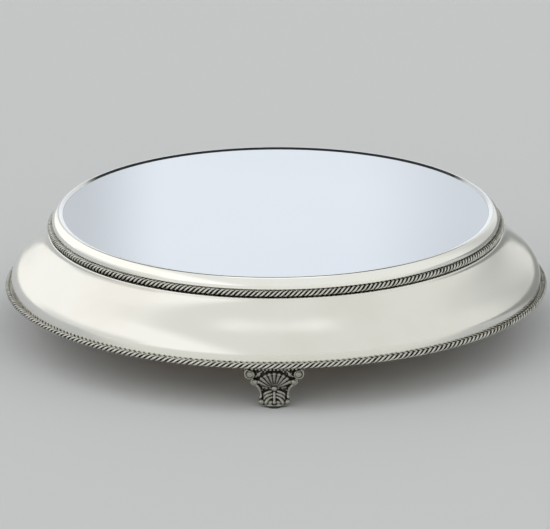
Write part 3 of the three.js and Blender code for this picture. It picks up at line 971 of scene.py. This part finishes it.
def make_washer():
    node = "spindle_washer"
    outer, bottom, top = high(node).x, low(node).z, high(node).z
    washer = rounded_ring("thrust_washer", SPINDLE_BORE, outer, bottom, top, 0.35, SHAFT_SEGMENTS)
    place(washer, "turntable", "steel", node)


def make_bush():
    node = "pivot_bush"
    flange, bottom, top = high(node).x, low(node).z, high(node).z
    shoulder, soft = low("deck_board").z, 0.35
    outline = [
        (SPINDLE_BORE, bottom + soft),
        (SPINDLE_BORE + soft, bottom),
        *arc((flange - soft, bottom + soft), soft, 270, 360, 4),
        *arc((flange - soft, shoulder - soft), soft, 0, 90, 4),
        (BUSH_RADIUS, shoulder),
        *arc((BUSH_RADIUS - soft, top - soft), soft, 0, 90, 4),
        (SPINDLE_BORE + soft, top),
        (SPINDLE_BORE, top - soft),
    ]
    place(revolve("bronze_bush", outline, SHAFT_SEGMENTS), "base", "bronze", node)


# ---------------------------------------------------------------- the bearing

BALL_COUNT = 12
BALL_RADIUS = 3.5
BALL_CIRCLE = 110
BALL_PLAY = 0.12
RACE_INNER = 95
RACE_THICKNESS = 3
CAGE_WIDTH = 13.0


def make_races():
    ball_height = middle("ball_1").z
    groove = BALL_RADIUS + BALL_PLAY
    dip = math.degrees(math.asin(RACE_FACE_GAP / 2 / groove))
    for node, name, body, facing in (
        ("lower_race", "lower_ball_race", "base", 1),
        ("upper_race", "upper_ball_race", "turntable", -1),
    ):
        outer, edge = high(node).x, 0.4
        face, seat = RACE_FACE_GAP / 2, RACE_FACE_GAP / 2 + RACE_THICKNESS
        outline = [
            (RACE_INNER, seat),
            *arc((RACE_INNER + edge, face + edge), edge, 180, 270, 3),
            *arc((BALL_CIRCLE, 0), groove, 180 - dip, dip, 14),
            *arc((outer - edge, face + edge), edge, 270, 360, 3),
            (outer, seat),
        ]
        placed = [(radius, ball_height - facing * height) for radius, height in outline]
        place(revolve(name, placed), body, "steel", node)


def make_cage():
    """A flat bronze ring, pierced with a pocket for each ball."""
    node = "ball_cage"
    inner, outer = BALL_CIRCLE - CAGE_WIDTH / 2, BALL_CIRCLE + CAGE_WIDTH / 2
    cage = rounded_ring("pierced_cage", inner, outer, low(node).z, high(node).z, 0.3)
    pocket, cutter_height = (BALL_RADIUS + BALL_PLAY) * MM, 4 * MM
    pockets = bmesh.new()
    for i in range(BALL_COUNT):
        angle = 2 * math.pi * i / BALL_COUNT
        spot = Vector((BALL_CIRCLE * math.cos(angle), BALL_CIRCLE * math.sin(angle), middle(node).z)) * MM
        bmesh.ops.create_cone(
            pockets, cap_ends=True, segments=48, radius1=pocket, radius2=pocket,
            depth=cutter_height, matrix=Matrix.Translation(spot),
        )
    cutter_mesh = bpy.data.meshes.new("pockets")
    pockets.to_mesh(cutter_mesh)
    pockets.free()
    cutter = bpy.data.objects.new("pockets", cutter_mesh)
    bpy.context.scene.collection.objects.link(cutter)
    pierce = cage.modifiers.new("pierce", "BOOLEAN")
    pierce.object, pierce.operation, pierce.solver = cutter, "DIFFERENCE", "EXACT"
    bpy.context.view_layer.update()
    pierced = bpy.data.meshes.new_from_object(cage.evaluated_get(bpy.context.evaluated_depsgraph_get()))
    cage.modifiers.clear()
    cage.data = pierced
    bpy.data.objects.remove(cutter)
    place(smooth(cage), "ball_cage", "bronze", node)


def make_balls():
    sphere = bmesh.new()
    bmesh.ops.create_icosphere(sphere, subdivisions=4, radius=BALL_RADIUS * MM)
    mesh = bpy.data.meshes.new("bearing_ball")
    sphere.to_mesh(mesh)
    sphere.free()
    mesh.shade_smooth()
    for i in range(BALL_COUNT):
        node = f"ball_{i + 1}"
        place(copy_of(mesh, f"bearing_{node}", middle(node)), "ball_cage", "steel", node)


# ---------------------------------------------------------------- screws

# Millimetres: a pan head stands proud of its seat by its height, and a sunk head goes into it.
RIM_SCREW = {"head": 3.4, "height": 1.8, "shank": 1.9, "length": 6.5}
DECK_SCREW = {"head": 3.8, "height": 1.8, "shank": 2.1, "length": 11}
SPINDLE_SCREW = {"head": 3.8, "height": 1.9, "shank": 2.1, "length": 9.5}
FOOT_SCREW = {"head": 4.6, "height": 2.6, "shank": 2.5, "length": 14}
RACE_SCREW = {"head": 3.0, "height": 0, "shank": 1.6, "length": 7}
SINK = 1.5  # depth of a sunk head


def screw_mesh(name, head, height, shank, length):
    """A cross-recessed screw, its seat at height 0, head up and thread down."""
    arm, half_slot, depth = head * 0.62, head * 0.15, max(height, SINK) * 0.6
    tip, thread_depth, pitch = 1.6, 0.45, 0.9

    def dome(radius):
        return height * (1 - 0.28 * (radius / head) ** 2) if height else 0.0

    def outline(angle):
        off = (angle + math.pi / 4) % (math.pi / 2) - math.pi / 4
        reach = min(arm, half_slot / max(abs(math.sin(off)), 0.01))
        floor = dome(reach) - depth
        head_side = [(head * 0.9, dome(head * 0.9)), (head, dome(head) - 0.1 * head), (head, 0), (shank, 0)]
        sunk_side = [(head, 0), (shank, -SINK)]
        return [
            (0, floor + 0.02),
            (reach * 0.92, floor),
            (reach, dome(reach) - 0.03),
            *[(r, dome(r)) for r in np.linspace(reach + 0.05, head * 0.86, 4)],
            *(head_side if height else sunk_side),
            *thread(shank, thread_depth, tip - length, -SINK - 0.1, angle, pitch)[::-1],
            (shank * 0.6, 0.7 - length),
            (0, -length),
        ]

    return mesh_of(drop_flat_faces(revolve(name, outline, SCREW_SEGMENTS)))


def make_screws():
    for nodes, count, kind, body, upwards in (
        ("rim_screw", 6, RIM_SCREW, "turntable", True),
        ("spindle_screw", 3, SPINDLE_SCREW, "turntable", True),
        ("upper_race_screw", 3, RACE_SCREW, "turntable", True),
        ("deck_screw", 6, DECK_SCREW, "base", False),
        ("lower_race_screw", 3, RACE_SCREW, "base", False),
        ("foot_screw", 6, FOOT_SCREW, "base", False),
    ):
        mesh = screw_mesh(f"threaded_{nodes}", **kind)
        for i in range(count):
            node = f"{nodes}_{i + 1}"
            spot = middle(node)
            seat = low(node).z + kind["height"] if upwards else high(node).z - kind["height"]
            piece = copy_of(mesh, f"threaded_{node}", (spot.x, spot.y, seat), upside_down=upwards)
            place(piece, body, "steel", node)


# ---------------------------------------------------------------- stage, light and camera

def make_floor():
    """A plain pale floor, with painted reflections: polished faces see it brighter at the front and darker
    at the back right.
    """
    bpy.ops.mesh.primitive_plane_add(size=30)
    floor = bpy.context.object
    floor.name = "studio_floor"
    material = bpy.data.materials.new("studio_floor")
    tree = Tree(material)
    place_on_floor = tree.add("ShaderNodeTexCoord", output="Object")
    right, back = (tree.along(place_on_floor, axis) for axis in "XY")
    mirrored = tree.add("ShaderNodeLightPath", output="Is Glossy Ray")
    # painted reflection: glossy rays see the floor brighter towards the front
    painted_reflection_lift = tree.math("MULTIPLY", mirrored, tree.spread(back, -0.36, -0.16, 1.0, 0.0))
    # painted shade: glossy rays see the floor darker at the back right
    corner = tree.math("MULTIPLY", tree.spread(right, 0.29, 0.38), tree.spread(back, 0.0, 0.14))
    colour = tree.mix(painted_reflection_lift, rgb(0.70, 0.715, 0.74), rgb(1.0, 1.0, 0.97))
    colour = tree.mix(tree.math("MULTIPLY", mirrored, corner), colour, rgb(0.33, 0.34, 0.34))
    shader = tree.add("ShaderNodeBsdfPrincipled", {"Base Color": colour, "Roughness": 0.9})
    tree.end("ShaderNodeOutputMaterial", shader)
    floor.data.materials.append(material)


def make_world():
    """Soft studio walls: white at the left and overhead, grey at the back right, cool and pale straight
    behind, and dark in a gap above that.
    """
    world = bpy.data.worlds.new("studio")
    bpy.context.scene.world = world
    tree = Tree(world)
    towards = tree.add("ShaderNodeTexCoord", output="Generated")
    right, back, up = (tree.along(towards, axis) for axis in "XYZ")
    off_middle = tree.math("ABSOLUTE", right)
    leftward = tree.math("ADD", right, tree.math("MULTIPLY", up, 0.30))
    past_left = tree.spread(leftward, -0.40, -0.14)
    white_left = tree.mix(past_left, rgb(1.06, 1.06, 1.02), rgb(0.80, 0.81, 0.775))
    far_left = tree.spread(right, -0.92, -0.80, 1.0, 0.0)
    low_left = tree.math("MULTIPLY", far_left, tree.spread(up, 0.10, 0.36, 1.0, 0.0))
    front = tree.mix(low_left, white_left, rgb(0.78, 0.79, 0.77))
    right_back = tree.math("MULTIPLY", tree.spread(right, 0.25, 0.65), tree.spread(back, 0.2, 0.75))
    sides = tree.mix(right_back, front, rgb(0.56, 0.57, 0.56))
    straight_back = tree.spread(off_middle, 0.15, 0.3, 1.0, 0.0)
    behind = tree.math("MULTIPLY", tree.spread(back, 0.86, 0.94), straight_back)
    walls = tree.mix(behind, sides, rgb(0.80, 0.84, 0.89))
    overhead = tree.math("MULTIPLY", tree.spread(up, 0.96, 0.98), tree.spread(back, -0.13, -0.07))
    lit = tree.mix(overhead, walls, rgb(1.12, 1.12, 1.09))
    gap = tree.math("MULTIPLY", tree.spread(up, 0.50, 0.56), tree.spread(back, 0.25, 0.35))
    near_middle = tree.spread(off_middle, 0.32, 0.40, 1.0, 0.0)
    colour = tree.mix(tree.math("MULTIPLY", gap, near_middle), lit, rgb(0.025, 0.027, 0.03))
    background = tree.add("ShaderNodeBackground", {"Color": colour, "Strength": 1.0})
    tree.end("ShaderNodeOutputWorld", background)


def make_card():
    """A reflector card behind the object that only its polished faces see, dimmer towards both ends."""
    half_width, low_edge, high_edge, distance = 0.6, 0.2, 1.1, 1.7
    corners = [
        (-half_width, distance, low_edge), (half_width, distance, low_edge),
        (half_width, distance, high_edge), (-half_width, distance, high_edge),
    ]
    mesh = bpy.data.meshes.new("reflector_card")
    mesh.from_pydata(corners, [], [(0, 1, 2, 3)])
    card = bpy.data.objects.new("reflector_card", mesh)
    bpy.context.scene.collection.objects.link(card)
    material = bpy.data.materials.new("reflector_card")
    tree = Tree(material)
    across = tree.along(tree.add("ShaderNodeTexCoord", output="Object"), "X")
    left_end = tree.spread(across, -0.24, -0.135, 0.67, 1.0)
    right_end = tree.spread(across, 0.065, 0.215, 1.0, 0.78)
    glow = tree.add("ShaderNodeEmission", {
        "Color": rgb(0.875, 0.92, 0.965),
        "Strength": tree.math("MULTIPLY", left_end, right_end),
    })
    tree.end("ShaderNodeOutputMaterial", glow)
    mesh.materials.append(material)
    card.visible_camera = False
    card.visible_diffuse = False
    card.visible_shadow = False


def make_camera():
    """A very long lens, looking down at the front from a little above."""
    azimuth, elevation = math.radians(0.5), math.radians(17.57)
    distance, width_in_view = 20.0, 0.5683
    aim = Vector((-0.001, 0, 0.0694))
    data = bpy.data.cameras.new("camera")
    data.sensor_width = 36
    data.lens = data.sensor_width * distance / width_in_view
    data.clip_end = 100
    camera = bpy.data.objects.new("camera", data)
    level = math.cos(elevation)
    away = Vector((level * math.sin(azimuth), -level * math.cos(azimuth), math.sin(elevation)))
    camera.location = aim + away * distance
    roll = Matrix.Rotation(math.radians(-0.25), 4, "Z")
    camera.rotation_euler = ((-away).to_track_quat("-Z", "Y").to_matrix().to_4x4() @ roll).to_euler()
    bpy.context.scene.collection.objects.link(camera)
    bpy.context.scene.camera = camera


make_camera()
make_floor()
make_world()
make_card()
bpy.context.scene.view_settings.view_transform = "Standard"

make_mirror()
make_rim()
make_rope("upper_rope", "upper_rope_border", "turntable", UPPER_LAY)
make_skirt()
make_rope("lower_rope", "lower_rope_border", "base", LOWER_LAY)
make_base_ring()
make_deck()
make_turning_board()
make_feet()
make_pads()
make_spindle()
make_nut()
make_washer()
make_bush()
make_races()
make_cage()
make_balls()
make_screws()

for row in frame["record"]["subparts"]:
    obj = frame["nodes"][row["node"]]
    obj.data.materials.clear()
    obj.data.materials.append(MATERIALS[row["material_slot"]])
